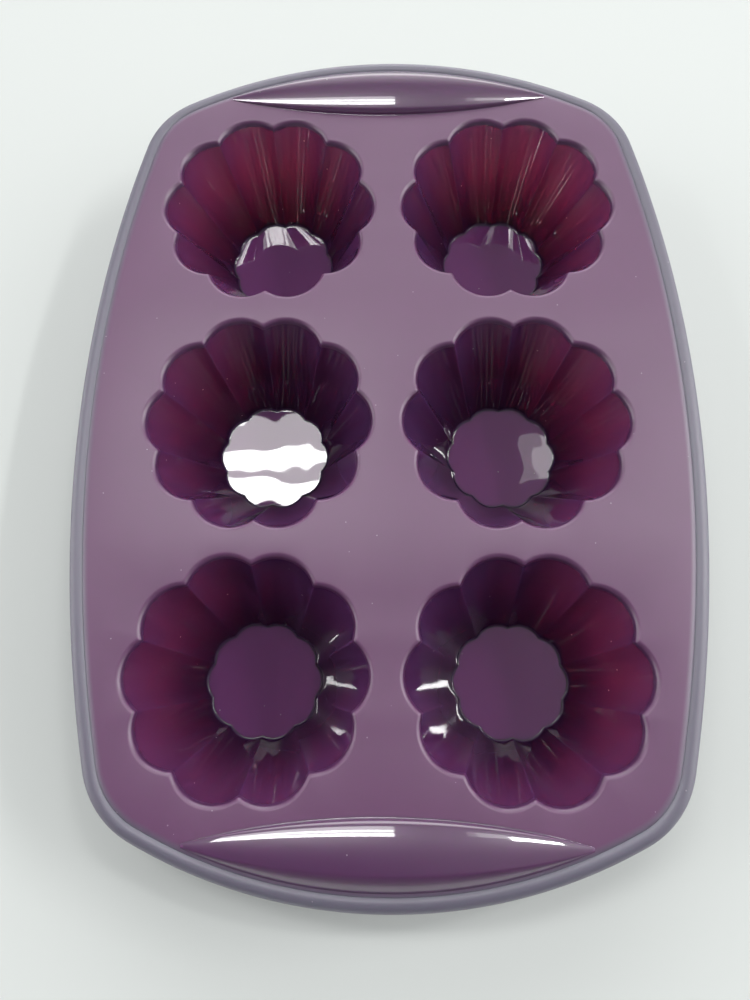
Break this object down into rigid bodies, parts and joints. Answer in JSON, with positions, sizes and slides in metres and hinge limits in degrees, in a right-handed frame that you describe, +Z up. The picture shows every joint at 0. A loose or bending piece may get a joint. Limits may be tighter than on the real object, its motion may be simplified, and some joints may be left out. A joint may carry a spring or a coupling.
{
  "type": "silicone cake mould",
  "caption": "Flexible silicone baking mould: deep fluted cups hang from a flat bowed deck edged by a round bead, with a raised glossy pull grip at each end.",
  "frame": {"origin": "centre of the mould's footprint, on the surface that the cup floors stand on", "axes": "+Z up out of the cups, +Y along the mould from the front grip to the rear grip, +X to the right"},
  "size_m": [0.2078, 0.2964, 0.0451],
  "materials": {
    "deck": "satin translucent purple silicone",
    "rim": "satin translucent grey-lilac silicone",
    "grip": "glossy translucent purple silicone",
    "cup_wall": "glossy translucent purple silicone, redder where light comes through",
    "cup_floor": "mirror-gloss translucent purple silicone"
  },
  "bodies": {
    "root": {"deck": "deck", "rim_bead": "rim", "front_grip": "grip", "rear_grip": "grip", "cup_front_left_wall": "cup_wall", "cup_front_left_floor": "cup_floor", "cup_front_right_wall": "cup_wall", "cup_front_right_floor": "cup_floor", "cup_middle_left_wall": "cup_wall", "cup_middle_left_floor": "cup_floor", "cup_middle_right_wall": "cup_wall", "cup_middle_right_floor": "cup_floor", "cup_rear_left_wall": "cup_wall", "cup_rear_left_floor": "cup_floor", "cup_rear_right_wall": "cup_wall", "cup_rear_right_floor": "cup_floor"}
  },
  "joints": []
}
